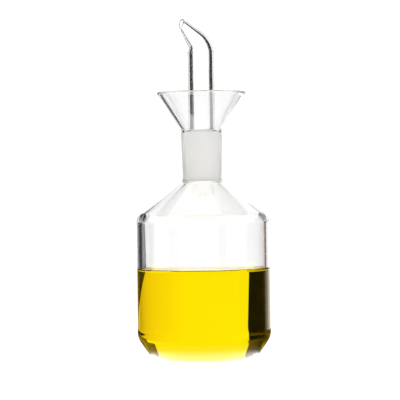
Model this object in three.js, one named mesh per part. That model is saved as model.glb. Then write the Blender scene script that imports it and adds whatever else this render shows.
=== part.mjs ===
// Glass oil cruet: a blown bottle with a funnel mouth, a pouring spout ground into its neck,
// and the oil in it. Millimetres, +Z up, origin at the centre of the flat underside.
import * as THREE from "three";

const DEGREE = Math.PI / 180;

// Bottle, outside
const BODY_RADIUS = 40;
const BASE_RADIUS = 30.2; // where the underside would meet the sloping heel
const BASE_ROUND = 8;
const PUSH_UP_RADIUS = 21;
const PUSH_UP_HEIGHT = 1.8;
const HEEL_HEIGHT = 14.2; // where the heel would meet the straight side
const HEEL_ROUND = 10;
const SHOULDER_HEIGHT = 87.1; // where the straight side would meet the shoulder
const SHOULDER_ROUND = 6;
const SHOULDER_SLOPE = 37 * DEGREE; // above the horizontal
const NECK_RADIUS_LOW = 11.75;
const NECK_RADIUS_HIGH = 12.65;
const NECK_FOOT_ROUND = 3;
const NECK_TOP_ROUND = 2;
const FUNNEL_SLOPE = 33 * DEGREE; // away from the vertical
const RIM_RADIUS = 26.7;
const RIM_HEIGHT = 161.6;
const RIM_BEAD = 1; // radius of the fire-polished edge

// Bottle, wall
const WALL = 3.1;
const HEEL_WALL = 3.3;
const BASE_WALL = 3.8;
const FUNNEL_WALL = 2;
const INSIDE_ROUND = 5;

// Ground joint: 1 in 10 on the diameter
const GROUND_TAPER = 0.05; // radius gained for each millimetre of height
const GROUND_TOP_HEIGHT = 137;
const GROUND_TOP_RADIUS = 10.75;

// Spout
const JOINT_GAP = 0.3;
const PLUG_BOTTOM = 108.6;
const PLUG_TOP = 137.6;
const PLUG_WALL = 2;
const PLUG_ROUND = 0.8;
const TUBE_RADIUS = 7.9;
const TUBE_WALL = 2.3;
const TUBE_FOOT_RISE = 1.7; // height over which the plug narrows to the tube
const TUBE_FOOT_ROUND = 1.2;
const BEND_HEIGHT = 185.3;
const BEND_RADIUS = 9.8; // of the tube's middle line
const BEND_ANGLE = 47.7 * DEGREE;
const TIP_LENGTH = 13.6; // straight stretch after the bend
const TIP_RADIUS = 2.8;
const TIP_WALL = 1;
const MOUTH_CUT = 31 * DEGREE; // the mouth faces this much lower than the tip points
const MOUTH_CUT_LENGTH = 10;
const SPOUT_TURN = 32 * DEGREE; // from -X towards -Y

// Oil
const OIL_LEVEL = 54.7;
const OIL_GAP = 0.3;

// Fineness
const BOTTLE_SIDES = 56;
const SPOUT_SIDES = 36;
const ARC_STEP = 15 * DEGREE;
const DOME_STEPS = 4;
const TIP_STEPS = 12;

const corner = (r, z, round = 0) => ({ r, z, round });

// Points of an outline through the corners, each corner with a round replaced by an arc.
function roundedOutline(corners) {
  const points = [];
  corners.forEach((here, i) => {
    const middle = new THREE.Vector2(here.r, here.z);
    if (!here.round) {
      points.push(middle);
      return;
    }
    const before = new THREE.Vector2(corners[i - 1].r, corners[i - 1].z).sub(middle).normalize();
    const after = new THREE.Vector2(corners[i + 1].r, corners[i + 1].z).sub(middle).normalize();
    const opening = Math.acos(before.dot(after));
    const turn = Math.PI - opening;
    const toCentre = here.round / Math.sin(opening / 2);
    const centre = before.clone().add(after).setLength(toCentre).add(middle);
    const first = before.clone().multiplyScalar(here.round / Math.tan(opening / 2)).add(middle);
    const spoke = first.sub(centre);
    const way = Math.sign(after.clone().cross(before));
    const steps = Math.max(2, Math.ceil(turn / ARC_STEP));
    for (let k = 0; k <= steps; k++) {
      const turned = spoke.clone().rotateAround(new THREE.Vector2(), (way * turn * k) / steps);
      points.push(turned.add(centre));
    }
  });
  return points;
}

// A straight edge of the outline: a point on it and its direction.
function edge(r, z, dr, dz) {
  return { r, z, dr, dz };
}

function meeting(a, b) {
  const across = a.dr * b.dz - a.dz * b.dr;
  const t = ((b.r - a.r) * b.dz - (b.z - a.z) * b.dr) / across;
  return { r: a.r + t * a.dr, z: a.z + t * a.dz };
}

// The same edge moved to its left by a distance; outlines run upwards, so left is inwards.
function movedIn(line, distance) {
  const length = Math.hypot(line.dr, line.dz);
  const r = line.r - (line.dz / length) * distance;
  const z = line.z + (line.dr / length) * distance;
  return edge(r, z, line.dr, line.dz);
}

const baseLine = edge(0, 0, 1, 0);
const heelLine = edge(BASE_RADIUS, 0, BODY_RADIUS - BASE_RADIUS, HEEL_HEIGHT);
const sideLine = edge(BODY_RADIUS, 0, 0, 1);
const shoulderLine = edge(
  BODY_RADIUS,
  SHOULDER_HEIGHT,
  -Math.cos(SHOULDER_SLOPE),
  Math.sin(SHOULDER_SLOPE),
);
const beadCentre = { r: RIM_RADIUS - RIM_BEAD, z: RIM_HEIGHT - RIM_BEAD };
const funnelMiddle = edge(
  beadCentre.r,
  beadCentre.z,
  Math.sin(FUNNEL_SLOPE),
  Math.cos(FUNNEL_SLOPE),
);
const funnelOutside = movedIn(funnelMiddle, -FUNNEL_WALL / 2);
const funnelInside = movedIn(funnelMiddle, FUNNEL_WALL / 2);
const groundLine = edge(GROUND_TOP_RADIUS, GROUND_TOP_HEIGHT, GROUND_TAPER, 1);

const groundRadius = (z) => GROUND_TOP_RADIUS + (z - GROUND_TOP_HEIGHT) * GROUND_TAPER;

// The raised middle of the base, from the axis out to the ring that the bottle stands on.
function dome(lift) {
  const points = [];
  for (let k = 0; k <= DOME_STEPS; k++) {
    const share = k / DOME_STEPS;
    const rise = (PUSH_UP_HEIGHT * (1 + Math.cos(Math.PI * share))) / 2;
    points.push(corner(PUSH_UP_RADIUS * share, lift + rise));
  }
  return points;
}

// The rounded rim, from the funnel's outside over the top to its inside.
function rimBead() {
  const points = [];
  const hidden = Math.acos(FUNNEL_WALL / 2 / RIM_BEAD); // part of the bead inside the wall, each side
  const sweep = Math.PI + 2 * hidden;
  const steps = Math.ceil(sweep / (2 * ARC_STEP));
  for (let k = 0; k <= steps; k++) {
    const angle = -FUNNEL_SLOPE - hidden + (sweep * k) / steps;
    const r = beadCentre.r + RIM_BEAD * Math.cos(angle);
    points.push(corner(r, beadCentre.z + RIM_BEAD * Math.sin(angle)));
  }
  return points;
}

// Corners of the hollow from its bottom middle up to the shoulder, drawn in by a clearance.
function hollowCorners(clearance) {
  const floor = movedIn(baseLine, BASE_WALL + clearance);
  const heel = movedIn(heelLine, HEEL_WALL + clearance);
  const side = movedIn(sideLine, WALL + clearance);
  const shoulder = movedIn(shoulderLine, WALL + clearance);
  const low = meeting(floor, heel);
  const middle = meeting(heel, side);
  const high = meeting(side, shoulder);
  return [
    ...dome(BASE_WALL + clearance),
    corner(low.r, low.z, BASE_ROUND - HEEL_WALL),
    corner(middle.r, middle.z, HEEL_ROUND - WALL),
    corner(high.r, high.z, INSIDE_ROUND),
  ];
}

function turned(corners, sides) {
  const geometry = new THREE.LatheGeometry(roundedOutline(corners), sides);
  return geometry.rotateX(Math.PI / 2);
}

function bottleGeometry() {
  const neckLow = meeting(shoulderLine, edge(NECK_RADIUS_LOW, 0, 0, 1));
  const neckHigh = meeting(funnelOutside, edge(NECK_RADIUS_HIGH, 0, 0, 1));
  const throat = meeting(funnelInside, groundLine);
  const insideShoulder = movedIn(shoulderLine, WALL);
  const groundFoot = meeting(insideShoulder, groundLine);
  const outside = [
    ...dome(0),
    corner(BASE_RADIUS, 0, BASE_ROUND),
    corner(BODY_RADIUS, HEEL_HEIGHT, HEEL_ROUND),
    corner(BODY_RADIUS, SHOULDER_HEIGHT, SHOULDER_ROUND),
    corner(neckLow.r, neckLow.z, NECK_FOOT_ROUND),
    corner(neckHigh.r, neckHigh.z, NECK_TOP_ROUND),
  ];
  const inside = [
    corner(throat.r, throat.z, NECK_TOP_ROUND),
    corner(GROUND_TOP_RADIUS, GROUND_TOP_HEIGHT),
    corner(groundFoot.r, groundFoot.z, PLUG_ROUND),
    ...hollowCorners(0).reverse(),
  ];
  return turned([...outside, ...rimBead(), ...inside], BOTTLE_SIDES);
}

function oilGeometry() {
  const hollow = hollowCorners(OIL_GAP);
  hollow.pop(); // the oil stops below the shoulder
  const wall = BODY_RADIUS - WALL - OIL_GAP;
  return turned([...hollow, corner(wall, OIL_LEVEL), corner(0, OIL_LEVEL)], BOTTLE_SIDES);
}

// The spout drawn out straight, its tip still upright.
function straightSpoutCorners() {
  const tipRise = BEND_RADIUS * BEND_ANGLE + TIP_LENGTH;
  const outer = (share) => THREE.MathUtils.lerp(TUBE_RADIUS, TIP_RADIUS, share);
  const inner = (share) => outer(share) - THREE.MathUtils.lerp(TUBE_WALL, TIP_WALL, share);
  const shares = Array.from({ length: TIP_STEPS + 1 }, (_, k) => k / TIP_STEPS);
  const height = (share) => BEND_HEIGHT + tipRise * share;
  const plugOutside = (z) => groundRadius(z) - JOINT_GAP;
  const plugInside = (z) => plugOutside(z) - PLUG_WALL;
  const lip = TIP_WALL / 2;
  const lipMiddle = TIP_RADIUS - lip;
  const lipArc = [30, 60, 90, 120, 150].map((angle) =>
    corner(
      lipMiddle + lip * Math.cos(angle * DEGREE),
      height(1) + lip * Math.sin(angle * DEGREE),
    ),
  );
  const start = corner(plugOutside(PLUG_BOTTOM) - PLUG_WALL / 2, PLUG_BOTTOM);
  const cavityTop = PLUG_TOP - PLUG_WALL / 2;
  return [
    start,
    corner(plugOutside(PLUG_BOTTOM), PLUG_BOTTOM, PLUG_ROUND),
    corner(plugOutside(PLUG_TOP), PLUG_TOP, TUBE_FOOT_ROUND),
    corner(TUBE_RADIUS, PLUG_TOP + TUBE_FOOT_RISE, TUBE_FOOT_ROUND),
    ...shares.map((share) => corner(outer(share), height(share))),
    ...lipArc,
    ...shares.reverse().map((share) => corner(inner(share), height(share))),
    corner(TUBE_RADIUS - TUBE_WALL, PLUG_TOP + TUBE_FOOT_RISE, TUBE_FOOT_ROUND),
    corner(plugInside(cavityTop), cavityTop - TUBE_FOOT_RISE, TUBE_FOOT_ROUND),
    corner(plugInside(PLUG_BOTTOM), PLUG_BOTTOM, PLUG_ROUND),
    start,
  ];
}

// Cuts the mouth aslant, then bends all that is above the bend's foot towards +X.
function bendTip(geometry) {
  const place = geometry.getAttribute("position");
  const tipTop = BEND_RADIUS * BEND_ANGLE + TIP_LENGTH;
  for (let i = 0; i < place.count; i++) {
    const x = place.getX(i);
    const rise = place.getZ(i) - BEND_HEIGHT;
    if (rise <= 0) continue;
    const cut = THREE.MathUtils.smoothstep(rise, tipTop - MOUTH_CUT_LENGTH, tipTop);
    const along = rise - x * Math.tan(MOUTH_CUT) * cut;
    const angle = Math.min(along / BEND_RADIUS, BEND_ANGLE);
    const straight = along - angle * BEND_RADIUS;
    const reach = BEND_RADIUS - (BEND_RADIUS - x) * Math.cos(angle);
    const climb = (BEND_RADIUS - x) * Math.sin(angle);
    place.setX(i, reach + straight * Math.sin(angle));
    place.setZ(i, BEND_HEIGHT + climb + straight * Math.cos(angle));
  }
  return geometry;
}

function clearGlass(color) {
  return new THREE.MeshStandardMaterial({
    color,
    roughness: 0.04,
    metalness: 0,
    transparent: true,
    opacity: 0.3,
    side: THREE.DoubleSide,
  });
}

function piece(name, geometry, material) {
  const mesh = new THREE.Mesh(geometry, material);
  mesh.name = name;
  return mesh;
}

const bottle = piece("bottle", bottleGeometry(), clearGlass(0xf4f7f5));

const spout = piece(
  "spout",
  bendTip(turned(straightSpoutCorners(), SPOUT_SIDES)),
  clearGlass(0xf1f3f0),
);
spout.rotation.z = Math.PI + SPOUT_TURN;

const oil = piece(
  "oil",
  oilGeometry(),
  new THREE.MeshStandardMaterial({ color: 0xffe400, roughness: 0.06, metalness: 0 }),
);

const cruet = new THREE.Group();
cruet.name = "oil_cruet";
cruet.add(bottle, spout, oil);

export default cruet;
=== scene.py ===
"""Looks of the glass oil cruet: clear bottle, ground-in spout and the oil in it."""

import math

import bmesh
import bpy
from mathutils import Euler, Matrix, Vector


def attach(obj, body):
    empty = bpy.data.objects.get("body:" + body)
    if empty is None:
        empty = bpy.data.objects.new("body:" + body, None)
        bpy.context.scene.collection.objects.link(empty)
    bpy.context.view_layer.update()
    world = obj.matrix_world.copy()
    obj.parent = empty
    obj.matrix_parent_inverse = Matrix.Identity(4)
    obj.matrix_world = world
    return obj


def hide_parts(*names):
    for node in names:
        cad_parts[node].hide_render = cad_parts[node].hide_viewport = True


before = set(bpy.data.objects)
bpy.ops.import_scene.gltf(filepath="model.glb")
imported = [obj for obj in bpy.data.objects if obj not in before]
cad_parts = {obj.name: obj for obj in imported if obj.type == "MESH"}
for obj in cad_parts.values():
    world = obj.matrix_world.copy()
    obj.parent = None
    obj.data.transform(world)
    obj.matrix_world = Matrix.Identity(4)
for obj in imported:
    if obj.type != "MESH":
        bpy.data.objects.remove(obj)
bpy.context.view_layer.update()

MM = 0.001
TINY = 1e-6

# Bottle, outside, as in the frame (millimetres)
BODY_RADIUS = 40.0
BASE_RADIUS = 30.2  # where the underside would meet the sloping heel
BASE_ROUND = 8.0
PUSH_UP_RADIUS = 21.0
PUSH_UP_HEIGHT = 1.8
HEEL_HEIGHT = 14.2  # where the heel would meet the straight side
HEEL_ROUND = 10.0
SHOULDER_HEIGHT = 87.1  # where the straight side would meet the shoulder
SHOULDER_ROUND = 6.0
SHOULDER_SLOPE = math.radians(37)  # above the horizontal
NECK_RADIUS_LOW = 11.75
NECK_RADIUS_HIGH = 12.65
NECK_FOOT_ROUND = 3.0
NECK_TOP_ROUND = 2.0
FUNNEL_SLOPE = math.radians(33)  # away from the vertical
RIM_RADIUS = 26.7
RIM_HEIGHT = 161.6
RIM_BEAD = 1.0  # radius of the fire-polished edge

# Bottle, wall
WALL = 3.1
HEEL_WALL = 3.3
BASE_WALL = 3.8
FUNNEL_WALL = 2.0
INSIDE_ROUND = 5.0

# Ground joint
GROUND_TAPER = 0.05  # radius gained for each millimetre of height
GROUND_TOP_HEIGHT = 137.0
GROUND_TOP_RADIUS = 10.75
GROUND_BOTTOM_HEIGHT = 107.4  # where the neck's frost ends
GROUND_LEEWAY = 0.1  # takes in faces just off the ground cone

# Spout
JOINT_GAP = 0.3
PLUG_BOTTOM = 108.6
PLUG_TOP = 137.6
PLUG_WALL = 2.0
PLUG_ROUND = 0.8
TUBE_RADIUS = 7.9
TUBE_WALL = 2.3
TUBE_FOOT_RISE = 1.7  # height over which the plug narrows to the tube
TUBE_FOOT_ROUND = 1.2
BEND_HEIGHT = 185.3
BEND_RADIUS = 9.8  # of the tube's middle line
BEND_ANGLE = math.radians(47.7)
TIP_LENGTH = 13.6  # straight stretch after the bend
TIP_RISE = BEND_RADIUS * BEND_ANGLE + TIP_LENGTH  # before the tip is bent
TIP_RADIUS = 2.8
TIP_WALL = 1.0
MOUTH_CUT = math.radians(31)  # the mouth faces this much lower than the tip points
MOUTH_CUT_LENGTH = 10.0
SPOUT_TURN = math.radians(32)  # from -X towards -Y

# Oil
OIL_LEVEL = 54.7
OIL_INTO_WALL = 0.12
MENISCUS_RISE = 1.1
MENISCUS_REACH = 2.2
MENISCUS_FALL = 3.0  # how steeply it dies away; the surface is level past this many reaches
MENISCUS_CROWDING = 1.5  # draws the steps of the surface together near the wall

# Fineness
BOTTLE_SIDES = 192
SPOUT_SIDES = 112
RING_SIDES = 48
ARC_STEP = math.radians(5)
LIP_STEP = 15  # degrees
LONGEST_STEP = 3.0
DOME_STEPS = 14
TIP_STEPS = 40
MENISCUS_STEPS = 24
CARD_STEP = math.radians(3)

# Materials
GLASS_IOR = 1.5
OIL_IOR = 1.47
OIL_COLOUR = (0.998, 0.962, 0.02)
OIL_DENSITY = 100
# Painted glow on the ground glass, standing in for the light that its frost scatters
FROST_PAINTED_GLOW = 0.17
FROST_PAINTED_GLOW_COLOUR = (1, 0.985, 0.965)

# Studio (metres)
FLOOR_HALF = 9
BRIGHT_PATCH = 0.038  # past this radius the glass mirrors only darkness
FOOT_RADIUS = 0.0279
LOW_TOP = 0.0435  # of the cards that the oil shows
TALL_FOOT = 0.0425  # of the cards above them, which stand behind and overlap them a little
TALL_TOP = 0.135
LOW_DISTANCE = 0.22
TALL_DISTANCE = 0.25
UPPER_DISTANCE = 0.1
MIRRORED_DISTANCE = 0.26
LAYER_GAP = 0.001  # between a card and one that covers part of it

# Shades of the studio's light
WHITE = 1.11
DARK = 0.01
DIM = 0.05
GREY = 0.35
CREAM = (1.04, 0.86, 0.8)
TAN = (0.78, 0.58, 0.5)
TAUPE = (0.3, 0.25, 0.2)
BROWN = (0.16, 0.09, 0.03)
UMBER = (0.12, 0.09, 0.05)
SMOKE = (0.15, 0.115, 0.13)
SOOT = (0.05, 0.04, 0.045)

# Camera, from the photograph (metres, and millimetres for the lens)
CAMERA_DISTANCE = 1.3
CAMERA_HEIGHT = 0.1125
CAMERA_ASIDE = -0.0016
CAMERA_TILT = math.radians(-0.705)
CAMERA_ROLL = math.radians(-0.75)
CAMERA_LENS = 194.6
CAMERA_SENSOR = 36
CAMERA_CLIP = (0.01, 30)
LIGHT_BOUNCES = 48


def corner(r, z, round_=0.0):
    """A corner of an outline at a radius and a height, with the radius of its round."""
    return (r, z, round_)


def rounded_outline(corners):
    """Points (r, z) through the corners, with arcs for the rounds."""
    points = []
    for i, (r, z, round_) in enumerate(corners):
        middle = Vector((r, z))
        if not round_:
            points.append(middle)
            continue
        before = (Vector(corners[i - 1][:2]) - middle).normalized()
        after = (Vector(corners[i + 1][:2]) - middle).normalized()
        opening = before.angle(after)
        turn = math.pi - opening
        centre = middle + (before + after).normalized() * (round_ / math.sin(opening / 2))
        spoke = middle + before * (round_ / math.tan(opening / 2)) - centre
        way = 1 if after.x * before.y - after.y * before.x > 0 else -1
        steps = max(2, math.ceil(turn / ARC_STEP))
        for k in range(steps + 1):
            angle = way * turn * k / steps
            c, s = math.cos(angle), math.sin(angle)
            points.append(centre + Vector((c * spoke.x - s * spoke.y, s * spoke.x + c * spoke.y)))
    return points


def with_short_steps(points):
    """The same outline with no step longer than LONGEST_STEP."""
    made = [points[0]]
    for a, b in zip(points, points[1:]):
        steps = max(1, math.ceil((b - a).length / LONGEST_STEP))
        made += [a.lerp(b, (k + 1) / steps) for k in range(steps)]
    return made


def meeting(a, b):
    """Where two lines meet, each a point and a direction."""
    (ar, az, adr, adz), (br, bz, bdr, bdz) = a, b
    t = ((br - ar) * bdz - (bz - az) * bdr) / (adr * bdz - adz * bdr)
    return ar + t * adr, az + t * adz


def moved_in(line, distance):
    """The same line moved to its left; outlines run upwards, so left is inwards."""
    r, z, dr, dz = line
    length = math.hypot(dr, dz)
    return (r - dz / length * distance, z + dr / length * distance, dr, dz)


def upright(r):
    return (r, 0, 0, 1)


BASE_LINE = (0.0, 0.0, 1.0, 0.0)
HEEL_LINE = (BASE_RADIUS, 0.0, BODY_RADIUS - BASE_RADIUS, HEEL_HEIGHT)
SHOULDER_LINE = (
    BODY_RADIUS, SHOULDER_HEIGHT, -math.cos(SHOULDER_SLOPE), math.sin(SHOULDER_SLOPE)
)
BEAD_R, BEAD_Z = RIM_RADIUS - RIM_BEAD, RIM_HEIGHT - RIM_BEAD
FUNNEL_MIDDLE = (BEAD_R, BEAD_Z, math.sin(FUNNEL_SLOPE), math.cos(FUNNEL_SLOPE))
GROUND_LINE = (GROUND_TOP_RADIUS, GROUND_TOP_HEIGHT, GROUND_TAPER, 1.0)


def ground_radius(z):
    return GROUND_TOP_RADIUS + (z - GROUND_TOP_HEIGHT) * GROUND_TAPER


def dome(lift):
    """The raised middle of the base, from the axis out to the ring that the bottle stands on."""
    points = []
    for k in range(DOME_STEPS + 1):
        share = k / DOME_STEPS
        rise = PUSH_UP_HEIGHT * (1 + math.cos(math.pi * share)) / 2
        points.append(corner(PUSH_UP_RADIUS * share, lift + rise))
    return points


def rim_bead():
    """The rounded rim, from the funnel's outside over the top to its inside."""
    hidden = math.acos(FUNNEL_WALL / 2 / RIM_BEAD)
    sweep = math.pi + 2 * hidden
    steps = math.ceil(sweep / (2 * ARC_STEP))
    points = []
    for k in range(steps + 1):
        angle = -FUNNEL_SLOPE - hidden + sweep * k / steps
        points.append(
            corner(BEAD_R + RIM_BEAD * math.cos(angle), BEAD_Z + RIM_BEAD * math.sin(angle))
        )
    return points


def hollow_corners(clearance):
    """Corners of the hollow from its bottom middle up to the shoulder, drawn in by a clearance."""
    floor = moved_in(BASE_LINE, BASE_WALL + clearance)
    heel = moved_in(HEEL_LINE, HEEL_WALL + clearance)
    side = moved_in(upright(BODY_RADIUS), WALL + clearance)
    shoulder = moved_in(SHOULDER_LINE, WALL + clearance)
    return [
        *dome(BASE_WALL + clearance),
        corner(*meeting(floor, heel), BASE_ROUND - HEEL_WALL),
        corner(*meeting(heel, side), HEEL_ROUND - WALL),
        corner(*meeting(side, shoulder), INSIDE_ROUND),
    ]


def bottle_outline():
    funnel_outside = moved_in(FUNNEL_MIDDLE, -FUNNEL_WALL / 2)
    funnel_inside = moved_in(FUNNEL_MIDDLE, FUNNEL_WALL / 2)
    outside = [
        *dome(0.0),
        corner(BASE_RADIUS, 0.0, BASE_ROUND),
        corner(BODY_RADIUS, HEEL_HEIGHT, HEEL_ROUND),
        corner(BODY_RADIUS, SHOULDER_HEIGHT, SHOULDER_ROUND),
        corner(*meeting(SHOULDER_LINE, upright(NECK_RADIUS_LOW)), NECK_FOOT_ROUND),
        corner(*meeting(funnel_outside, upright(NECK_RADIUS_HIGH)), NECK_TOP_ROUND),
    ]
    hollow = hollow_corners(0.0)
    inside_shoulder = hollow.pop()
    inside = [
        corner(*meeting(funnel_inside, GROUND_LINE), NECK_TOP_ROUND),
        corner(GROUND_TOP_RADIUS, GROUND_TOP_HEIGHT),
        corner(*meeting(moved_in(SHOULDER_LINE, WALL), GROUND_LINE), PLUG_ROUND),
        inside_shoulder,
        corner(BODY_RADIUS - WALL, OIL_LEVEL + MENISCUS_RISE),
        *reversed(hollow),
    ]
    return with_short_steps(rounded_outline([*outside, *rim_bead(), *inside]))


def plug_outside(z):
    return ground_radius(z) - JOINT_GAP


def plug_inside(z):
    return plug_outside(z) - PLUG_WALL


def tip_outside(share):
    return TUBE_RADIUS + (TIP_RADIUS - TUBE_RADIUS) * share


def tip_inside(share):
    return tip_outside(share) - (TUBE_WALL + (TIP_WALL - TUBE_WALL) * share)


def lip_arc():
    """The rounded edge of the mouth, from the outside to the inside."""
    lip = TIP_WALL / 2
    points = []
    for degrees in range(LIP_STEP, 180, LIP_STEP):
        angle = math.radians(degrees)
        r = TIP_RADIUS - lip + lip * math.cos(angle)
        points.append(corner(r, BEND_HEIGHT + TIP_RISE + lip * math.sin(angle)))
    return points


def spout_outline():
    """The spout drawn out straight, its tip still upright."""
    shares = [k / TIP_STEPS for k in range(TIP_STEPS + 1)]
    start = corner(plug_outside(PLUG_BOTTOM) - PLUG_WALL / 2, PLUG_BOTTOM)
    cavity_top = PLUG_TOP - PLUG_WALL / 2
    foot = PLUG_TOP + TUBE_FOOT_RISE
    corners = [
        start,
        corner(plug_outside(PLUG_BOTTOM), PLUG_BOTTOM, PLUG_ROUND),
        corner(plug_outside(PLUG_TOP), PLUG_TOP, TUBE_FOOT_ROUND),
        corner(TUBE_RADIUS, foot, TUBE_FOOT_ROUND),
        *[corner(tip_outside(share), BEND_HEIGHT + TIP_RISE * share) for share in shares],
        *lip_arc(),
        *[corner(tip_inside(share), BEND_HEIGHT + TIP_RISE * share) for share in reversed(shares)],
        corner(TUBE_RADIUS - TUBE_WALL, foot, TUBE_FOOT_ROUND),
        corner(plug_inside(cavity_top), cavity_top - TUBE_FOOT_RISE, TUBE_FOOT_ROUND),
        corner(plug_inside(PLUG_BOTTOM), PLUG_BOTTOM, PLUG_ROUND),
        start,
    ]
    return with_short_steps(rounded_outline(corners))


def oil_outline():
    """The oil, reaching just into the wall, with the meniscus that it draws up the glass."""
    hollow = hollow_corners(-OIL_INTO_WALL)[:-1]
    wall = BODY_RADIUS - WALL + OIL_INTO_WALL
    up = rounded_outline([*hollow, corner(wall, OIL_LEVEL + MENISCUS_RISE)])
    surface = []
    for k in range(1, MENISCUS_STEPS + 1):
        share = (k / MENISCUS_STEPS) ** MENISCUS_CROWDING
        inward = MENISCUS_REACH * MENISCUS_FALL * share
        rise = MENISCUS_RISE * math.exp(-MENISCUS_FALL * inward / MENISCUS_REACH)
        surface.append(Vector((wall - OIL_INTO_WALL - inward, OIL_LEVEL + rise)))
    surface.append(Vector((0.0, OIL_LEVEL)))
    return with_short_steps([*up, *surface])


def made_object(name, bm):
    """The object of a mesh that is done."""
    mesh = bpy.data.meshes.new(name)
    bm.to_mesh(mesh)
    bm.free()
    made = bpy.data.objects.new(name, mesh)
    bpy.context.scene.collection.objects.link(made)
    return made


def add_ring(bm, point, sides, shape):
    """The vertices that a point of the outline gives: one on the axis, a ring off it."""
    if point.x < TINY:
        return [bm.verts.new((0, 0, point.y * MM))]
    ring = []
    for k in range(sides):
        a = 2 * math.pi * k / sides
        co = Vector((point.x * math.cos(a), point.x * math.sin(a), point.y))
        ring.append(bm.verts.new((shape(co) if shape else co) * MM))
    return ring


def turned(name, outline, sides, shape=None):
    """A piece turned round Z from an outline in millimetres, each point moved by shape."""
    closed = (outline[0] - outline[-1]).length < TINY
    if closed:
        outline = outline[:-1]
    bm = bmesh.new()
    rings = [add_ring(bm, point, sides, shape) for point in outline]
    pairs = list(zip(rings, rings[1:]))
    if closed:
        pairs.append((rings[-1], rings[0]))
    for low, high in pairs:
        for k in range(sides):
            n = (k + 1) % sides
            if len(low) == 1:
                bm.faces.new((low[0], high[n], high[k]))
            elif len(high) == 1:
                bm.faces.new((low[k], low[n], high[0]))
            else:
                bm.faces.new((low[k], low[n], high[n], high[k]))
    for face in bm.faces:
        face.smooth = True
    return made_object(name, bm)


def bend_tip(co):
    """Cuts the mouth aslant, bends the tip and turns the spout, as in the frame."""
    rise = co.z - BEND_HEIGHT
    x, y, z = co
    if rise > 0:
        t = min(1.0, max(0.0, (rise - TIP_RISE + MOUTH_CUT_LENGTH) / MOUTH_CUT_LENGTH))
        cut = t * t * (3 - 2 * t)
        along = rise - x * math.tan(MOUTH_CUT) * cut
        angle = min(along / BEND_RADIUS, BEND_ANGLE)
        straight = along - angle * BEND_RADIUS
        arm = BEND_RADIUS - x
        x = BEND_RADIUS - arm * math.cos(angle) + straight * math.sin(angle)
        z = BEND_HEIGHT + arm * math.sin(angle) + straight * math.cos(angle)
    turn = math.pi + SPOUT_TURN
    c, s = math.cos(turn), math.sin(turn)
    return Vector((x * c - y * s, x * s + y * c, z))


def node(tree, kind, **values):
    """A new node with the given settings."""
    made = tree.nodes.new(kind)
    for name, value in values.items():
        setattr(made, name, value)
    return made


def set_inputs(made, values):
    for name, value in values.items():
        made.inputs[name].default_value = value


def as_colour(shade):
    return shade if isinstance(shade, tuple) else (shade, shade, shade)


def principled(name):
    """A new material with its node tree and its shader."""
    mat = bpy.data.materials.new(name)
    mat.use_nodes = True
    return mat, mat.node_tree, mat.node_tree.nodes["Principled BSDF"]


def noise(tree, scale, detail):
    """A noise on the object's own coordinates."""
    place = node(tree, "ShaderNodeTexCoord")
    grain = node(tree, "ShaderNodeTexNoise")
    set_inputs(grain, {"Scale": scale, "Detail": detail})
    tree.links.new(place.outputs["Object"], grain.inputs["Vector"])
    return grain.outputs["Fac"]


def mottled(tree, scale, detail, low, high, low_at=0.35, high_at=0.65):
    """A colour that wavers between two with a noise."""
    ramp = node(tree, "ShaderNodeValToRGB")
    first, last = ramp.color_ramp.elements
    first.position, last.position = low_at, high_at
    first.color, last.color = (*as_colour(low), 1), (*as_colour(high), 1)
    tree.links.new(noise(tree, scale, detail), ramp.inputs["Fac"])
    return ramp.outputs["Color"]


def bump(tree, shader, height, strength, distance):
    raised = node(tree, "ShaderNodeBump")
    set_inputs(raised, {"Strength": strength, "Distance": distance})
    tree.links.new(height, raised.inputs["Height"])
    tree.links.new(raised.outputs["Normal"], shader.inputs["Normal"])


def clear_glass(name, ior):
    """Blown glass, faintly uneven in its tint and in its surface."""
    mat, tree, shader = principled(name)
    set_inputs(shader, {"Transmission Weight": 1, "IOR": ior, "Roughness": 0})
    tint = mottled(tree, scale=40, detail=2, low=(0.98, 0.985, 0.98), high=(0.995, 0.998, 0.995))
    tree.links.new(tint, shader.inputs["Base Color"])
    bump(tree, shader, noise(tree, scale=28, detail=1), strength=0.12, distance=0.0004)
    return mat


def ground_glass():
    """Glass ground to a white frost, with a painted glow that stands in for the light that it scatters.
    """
    mat, tree, shader = principled("ground_glass")
    set_inputs(shader, {"Transmission Weight": 0.25, "IOR": GLASS_IOR})
    # Painted glow: emission that stands in for the light that the frost scatters
    set_inputs(
        shader, {"Emission Color": (*FROST_PAINTED_GLOW_COLOUR, 1), "Emission Strength": FROST_PAINTED_GLOW}
    )
    tint = mottled(
        tree, scale=160, detail=5,
        low=(0.93, 0.925, 0.915), high=(0.99, 0.985, 0.975), low_at=0.3, high_at=0.7,
    )
    rough = mottled(tree, scale=900, detail=3, low=0.5, high=0.8)
    tree.links.new(tint, shader.inputs["Base Color"])
    tree.links.new(rough, shader.inputs["Roughness"])
    bump(tree, shader, noise(tree, scale=2600, detail=2), strength=0.3, distance=0.0001)
    return mat


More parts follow.
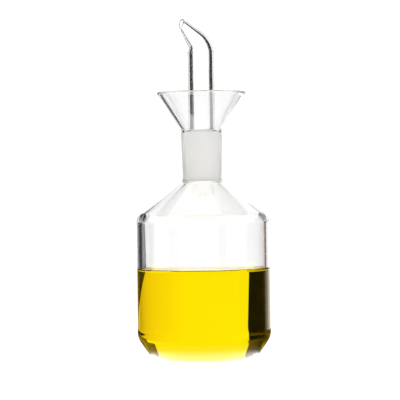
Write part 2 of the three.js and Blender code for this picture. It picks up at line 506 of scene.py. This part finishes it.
def is_free_surface(tree):
    """1 on the oil's free surface and 0 on its side, which lies in the wall."""
    leeway_out = 0.02
    leeway_down = 0.5
    place = node(tree, "ShaderNodeTexCoord")
    apart = node(tree, "ShaderNodeSeparateXYZ")
    flat = node(tree, "ShaderNodeCombineXYZ")
    radius = node(tree, "ShaderNodeVectorMath", operation="LENGTH")
    inside = node(tree, "ShaderNodeMath", operation="LESS_THAN")
    inside.inputs[1].default_value = (BODY_RADIUS - WALL + leeway_out) * MM
    above = node(tree, "ShaderNodeMath", operation="GREATER_THAN")
    above.inputs[1].default_value = (OIL_LEVEL - leeway_down) * MM
    both = node(tree, "ShaderNodeMath", operation="MULTIPLY")
    tree.links.new(place.outputs["Object"], apart.inputs["Vector"])
    tree.links.new(apart.outputs["X"], flat.inputs["X"])
    tree.links.new(apart.outputs["Y"], flat.inputs["Y"])
    tree.links.new(flat.outputs["Vector"], radius.inputs[0])
    tree.links.new(radius.outputs["Value"], inside.inputs[0])
    tree.links.new(apart.outputs["Z"], above.inputs[0])
    tree.links.new(inside.outputs["Value"], both.inputs[0])
    tree.links.new(above.outputs["Value"], both.inputs[1])
    return both.outputs["Value"]


def oil_material():
    """Clear yellow oil. Its free surface bends light; its side, which lies in the wall, doesn't,
    because the wetted glass already bends it there."""
    mat, tree, surface = principled("yellow_oil")
    side = node(tree, "ShaderNodeBsdfPrincipled")
    tint = mottled(tree, scale=30, detail=2, low=(0.99, 0.985, 0.95), high=(1, 1, 0.98))
    for shader, ior in ((surface, OIL_IOR), (side, 1.0)):
        set_inputs(shader, {"Transmission Weight": 1, "IOR": ior, "Roughness": 0})
        tree.links.new(tint, shader.inputs["Base Color"])
    mix = node(tree, "ShaderNodeMixShader")
    tree.links.new(is_free_surface(tree), mix.inputs["Fac"])
    tree.links.new(side.outputs["BSDF"], mix.inputs[1])
    tree.links.new(surface.outputs["BSDF"], mix.inputs[2])
    dye = node(tree, "ShaderNodeVolumeAbsorption")
    set_inputs(dye, {"Color": (*OIL_COLOUR, 1), "Density": OIL_DENSITY})
    out = tree.nodes["Material Output"]
    tree.links.new(mix.outputs["Shader"], out.inputs["Surface"])
    tree.links.new(dye.outputs["Volume"], out.inputs["Volume"])
    return mat


def paint(piece, material, is_there):
    """Gives another material to the faces that is_there picks by radius and height, in
    millimetres."""
    index = len(piece.data.materials)
    piece.data.materials.append(material)
    for face in piece.data.polygons:
        c = face.center / MM
        if is_there(math.hypot(c.x, c.y), c.z):
            face.material_index = index


def is_ground_neck(r, z):
    return GROUND_BOTTOM_HEIGHT < z < GROUND_TOP_HEIGHT and r < GROUND_TOP_RADIUS + GROUND_LEEWAY


def is_ground_plug(r, z):
    return PLUG_BOTTOM < z < PLUG_TOP and r > plug_outside(z) - PLUG_WALL / 2


def is_wetted(r, z):
    """True on the hollow's faces below the oil's edge, told from the outside halfway into the wall."""
    if z > OIL_LEVEL + MENISCUS_RISE:
        return False
    if z > HEEL_HEIGHT + HEEL_ROUND:
        return r < BODY_RADIUS - WALL / 2
    floor = BASE_WALL / 2 + PUSH_UP_HEIGHT * max(0.0, math.cos(math.pi / 2 * r / PUSH_UP_RADIUS))
    heel = HEEL_HEIGHT * (r - BASE_RADIUS + HEEL_WALL / 2) / (BODY_RADIUS - BASE_RADIUS)
    return r < BODY_RADIUS - WALL / 2 and z > max(floor, heel)


def make_bottle(clear, ground, wetted):
    piece = turned("cruet_bottle", bottle_outline(), BOTTLE_SIDES)
    piece.data.materials.append(clear)
    paint(piece, ground, is_ground_neck)
    paint(piece, wetted, is_wetted)
    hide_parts("bottle")
    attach(piece, "root")


def make_spout(clear, ground):
    piece = turned("cruet_spout", spout_outline(), SPOUT_SIDES, bend_tip)
    piece.data.materials.append(clear)
    paint(piece, ground, is_ground_plug)
    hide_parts("spout")
    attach(piece, "root")


def make_oil(oil):
    piece = turned("cruet_oil", oil_outline(), BOTTLE_SIDES)
    piece.data.materials.append(oil)
    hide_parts("oil")
    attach(piece, "root")


def make_cruet():
    clear = clear_glass("clear_glass", GLASS_IOR)
    wetted = clear_glass("wetted_glass", GLASS_IOR / OIL_IOR)
    ground = ground_glass()
    make_bottle(clear, ground, wetted)
    make_spout(clear, ground)
    make_oil(oil_material())


def light_material(name):
    """A new material of light alone, with its node tree and its light."""
    mat = bpy.data.materials.new(name)
    mat.use_nodes = True
    tree = mat.node_tree
    tree.nodes.clear()
    out = node(tree, "ShaderNodeOutputMaterial")
    light = node(tree, "ShaderNodeEmission")
    tree.links.new(light.outputs["Emission"], out.inputs["Surface"])
    return mat, tree, light


def radial(tree, near, far, at_near, at_far):
    """A value that changes smoothly with the distance from the axis, given in millimetres."""
    place = node(tree, "ShaderNodeTexCoord")
    radius = node(tree, "ShaderNodeVectorMath", operation="LENGTH")
    value = node(tree, "ShaderNodeMapRange", interpolation_type="SMOOTHSTEP")
    set_inputs(value, {"From Min": near * MM, "From Max": far * MM})
    set_inputs(value, {"To Min": at_near, "To Max": at_far})
    tree.links.new(place.outputs["Object"], radius.inputs[0])
    tree.links.new(radius.outputs["Value"], value.inputs["Value"])
    return value.outputs["Result"]


def make_floor():
    """A pale table with painted light: it glows softly round the foot, but not under it, so the shadow
    round the foot doesn't show.
    """
    bm = bmesh.new()
    bmesh.ops.create_grid(bm, x_segments=8, y_segments=8, size=FLOOR_HALF)
    floor = made_object("floor", bm)
    mat, tree, shader = principled("white_floor")
    set_inputs(shader, {"Roughness": 0.9, "Emission Color": (1, 1, 1, 1)})
    shade = mottled(tree, scale=3, detail=2, low=0.93, high=0.96)
    # Painted light round the foot, which hides the table's shadow there
    glow = radial(tree, near=50, far=100, at_near=0.6, at_far=0.15)
    past_the_foot = radial(tree, near=32, far=37, at_near=0, at_far=1)
    shown = node(tree, "ShaderNodeMath", operation="MULTIPLY")
    tree.links.new(shade, shader.inputs["Base Color"])
    tree.links.new(glow, shown.inputs[0])
    tree.links.new(past_the_foot, shown.inputs[1])
    tree.links.new(shown.outputs["Value"], shader.inputs["Emission Strength"])
    floor.data.materials.append(mat)


def card_material(name, shades, left, right):
    """Light that changes evenly from the card's left edge to its right."""
    mat, tree, light = light_material(name)
    place = node(tree, "ShaderNodeTexCoord")
    apart = node(tree, "ShaderNodeSeparateXYZ")
    angle = node(tree, "ShaderNodeMath", operation="ARCTAN2")
    along = node(tree, "ShaderNodeMapRange")
    set_inputs(along, {"From Min": math.radians(left), "From Max": math.radians(right)})
    ramp = node(tree, "ShaderNodeValToRGB")
    for element, shade in zip(ramp.color_ramp.elements, shades):
        element.color = (*as_colour(shade), 1)
    tree.links.new(place.outputs["Object"], apart.inputs["Vector"])
    tree.links.new(apart.outputs["X"], angle.inputs[0])
    tree.links.new(apart.outputs["Y"], angle.inputs[1])
    tree.links.new(angle.outputs["Value"], along.inputs["Value"])
    tree.links.new(along.outputs["Result"], ramp.inputs["Fac"])
    tree.links.new(ramp.outputs["Color"], light.inputs["Color"])
    return mat


def at_height(edge, share):
    """An edge's angle at a share of the card's height: one angle, or one at the foot and one on top."""
    return edge[0] + (edge[1] - edge[0]) * share if isinstance(edge, tuple) else edge


def make_card(name, left, right, low, high, shades=(DARK, DARK), distance=TALL_DISTANCE):
    """A studio card, curved round the object, that only glass sees. Angles from straight behind
    the object, right positive, in degrees; heights and distance in metres."""
    widest = max(at_height(right, share) - at_height(left, share) for share in (0, 1))
    steps = max(1, math.ceil(math.radians(widest) / CARD_STEP))
    bm = bmesh.new()
    rows = []
    for share, z in ((0, low), (1, high)):
        start, end = at_height(left, share), at_height(right, share)
        row = []
        for k in range(steps + 1):
            a = math.radians(start + (end - start) * k / steps)
            row.append(bm.verts.new((distance * math.sin(a), distance * math.cos(a), z)))
        rows.append(row)
    for k in range(steps):
        bm.faces.new((rows[0][k], rows[0][k + 1], rows[1][k + 1], rows[1][k]))
    card = made_object(name, bm)
    card.data.materials.append(
        card_material(name, shades, at_height(left, 0), at_height(right, 0))
    )
    card.visible_camera = False
    card.visible_diffuse = False
    card.visible_shadow = False
    card.visible_glossy = False
    return card


def make_mirrored_ring(name, near, far, z, material):
    """A flat ring on the table that only mirrored rays see."""
    bm = bmesh.new()
    inner, outer = [], []
    for k in range(RING_SIDES):
        a = 2 * math.pi * k / RING_SIDES
        inner.append(bm.verts.new((near * math.cos(a), near * math.sin(a), z)))
        outer.append(bm.verts.new((far * math.cos(a), far * math.sin(a), z)))
    for k in range(RING_SIDES):
        n = (k + 1) % RING_SIDES
        bm.faces.new((inner[k], outer[k], outer[n], inner[n]))
    ring = made_object(name, bm)
    ring.data.materials.append(material)
    ring.visible_camera = False
    ring.visible_diffuse = False
    ring.visible_transmission = False
    ring.visible_shadow = False


def make_dark_surround():
    """Past a small bright patch round its foot, the glass mirrors only darkness."""
    reach = 8
    height = 0.0001
    mat, _, light = light_material("dark_surround")
    set_inputs(light, {"Color": (*as_colour(DARK), 1)})
    make_mirrored_ring("dark_surround", BRIGHT_PATCH, reach, height, mat)


def make_foot_glow():
    """Painted reflection: light right under the heel that only mirrored rays see, so the heel mirrors
    a bright table there. It starts outside the foot, so that nothing mirrored inside the glass meets
    it."""
    overlap = 0.004
    height = 0.0002
    mat, tree, light = light_material("foot_glow")
    set_inputs(light, {"Color": (1, 1, 1, 1)})
    strength = radial(tree, near=30, far=40, at_near=8, at_far=0.2)
    tree.links.new(strength, light.inputs["Strength"])
    make_mirrored_ring("foot_glow", FOOT_RADIUS, BRIGHT_PATCH + overlap, height, mat)


def make_low_cards():
    """What the oil shows: a bright ground with a warm right side, and dark on both sides of it."""
    bright_from = (-20.6, -22.3)
    for name, left, right, shades in (
        ("card_left_low", -43, bright_from, (DARK, DARK)),
        ("card_left_low_end", -66, -43, (0.2, DARK)),
        ("card_left_low_fade", -74, -66, (WHITE, 0.2)),
        ("card_middle_low", bright_from, 6, (WHITE, WHITE)),
        ("card_right_low_near", 6, 27, (WHITE, CREAM)),
        ("card_right_low_far", 27, 55, (CREAM, TAN)),
    ):
        make_card(name, left, right, 0, LOW_TOP, shades, LOW_DISTANCE)
    for name, left, right, shades in (
        ("card_right_low", (74, 38.2), 82, (DARK, DARK)),
        ("card_right_low_fade", 82, 90, (DARK, WHITE)),
    ):
        make_card(name, left, right, 0, LOW_TOP, shades, LOW_DISTANCE - LAYER_GAP)


def make_tall_cards():
    """What the heel, the empty part and the shoulder show."""
    split = 0.085
    make_card("card_left_tall", -40, (-21.4, -26.5), TALL_FOOT, TALL_TOP, (SOOT, SMOKE))
    make_card("card_left_tall_end", -80, -40, TALL_FOOT, TALL_TOP, (DIM, DIM))
    make_card("card_left_tall_fade", -88, -80, TALL_FOOT, TALL_TOP, (WHITE, DIM))
    make_card("card_right_tall", 39.8, 66, TALL_FOOT, split, (BROWN, BROWN))
    make_card("card_right_tall_top", 30, 66, split, TALL_TOP, (UMBER, TAUPE))


def make_upper_cards():
    """What the funnel and its rim show, and nearer the glass, what the tube and its tip show."""
    make_card("card_left_funnel", -78, -23, TALL_TOP, 0.153, (GREY, GREY))
    make_card("card_right_funnel", 27, 78, 0.138, 0.172, (GREY, GREY))
    make_card("card_left_high", -78, -21, 0.153, 0.178)
    make_card("card_right_high", 23, 78, 0.172, 0.188)
    for name, left, right, low, high in (
        ("card_left_tube", -75, -24, 0.168, 0.225),
        ("card_right_tube", 26, 75, 0.176, 0.212),
        ("card_right_bend", (26, 17), 75, 0.212, 0.265),
        ("card_right_top", (17, 23), 70, 0.265, 0.36),
    ):
        make_card(name, left, right, low, high, distance=UPPER_DISTANCE)


def make_front_cards():
    """Dark in front of the object, which the glass shows at its edges after one mirroring inside."""
    top = 0.042
    make_card("card_front", -146, -127, 0, 0.08, distance=UPPER_DISTANCE)
    make_card("card_front_right", 142, 152, 0, top, (WHITE, 0.1))
    make_card("card_front_right_end", 152, 164, 0, top, (0.1, WHITE))


def make_mirrored_cards():
    """The bright ground again for mirrored rays alone, which fades out low on the right."""
    for card in (
        make_card("card_mirrored", -22, 38, 0, 0.3, (1.1, 1.1), MIRRORED_DISTANCE),
        make_card("card_mirrored_low", 38, 58, 0, LOW_TOP, (1.1, 0.1), MIRRORED_DISTANCE),
    ):
        card.visible_glossy = True
        card.visible_transmission = False


def make_world():
    """White all round, but not for mirrored rays, which see only the studio's own pieces."""
    world = bpy.data.worlds.new("white_studio")
    bpy.context.scene.world = world
    world.use_nodes = True
    set_inputs(world.node_tree.nodes["Background"], {"Color": (1, 1, 1, 1), "Strength": WHITE})
    world.cycles_visibility.glossy = False


def make_studio():
    make_floor()
    make_dark_surround()
    make_foot_glow()
    make_low_cards()
    make_tall_cards()
    make_upper_cards()
    make_front_cards()
    make_mirrored_cards()
    make_world()


def make_camera():
    data = bpy.data.cameras.new("camera")
    data.lens = CAMERA_LENS
    data.sensor_width = CAMERA_SENSOR
    data.clip_start, data.clip_end = CAMERA_CLIP
    camera = bpy.data.objects.new("camera", data)
    bpy.context.scene.collection.objects.link(camera)
    camera.location = (CAMERA_ASIDE, -CAMERA_DISTANCE, CAMERA_HEIGHT)
    look = Euler((math.pi / 2 + CAMERA_TILT, 0, 0)).to_matrix() @ Matrix.Rotation(CAMERA_ROLL, 3, "Z")
    camera.rotation_euler = look.to_euler()
    bpy.context.scene.camera = camera


def set_rendering():
    """Plain colours, and enough bounces for light that runs along inside the glass."""
    scene = bpy.context.scene
    scene.view_settings.view_transform = "Standard"
    scene.view_settings.look = "None"
    scene.cycles.max_bounces = LIGHT_BOUNCES
    scene.cycles.transmission_bounces = LIGHT_BOUNCES
    scene.cycles.glossy_bounces = LIGHT_BOUNCES
    scene.cycles.use_denoising = True


make_cruet()
make_studio()
make_camera()
set_rendering()
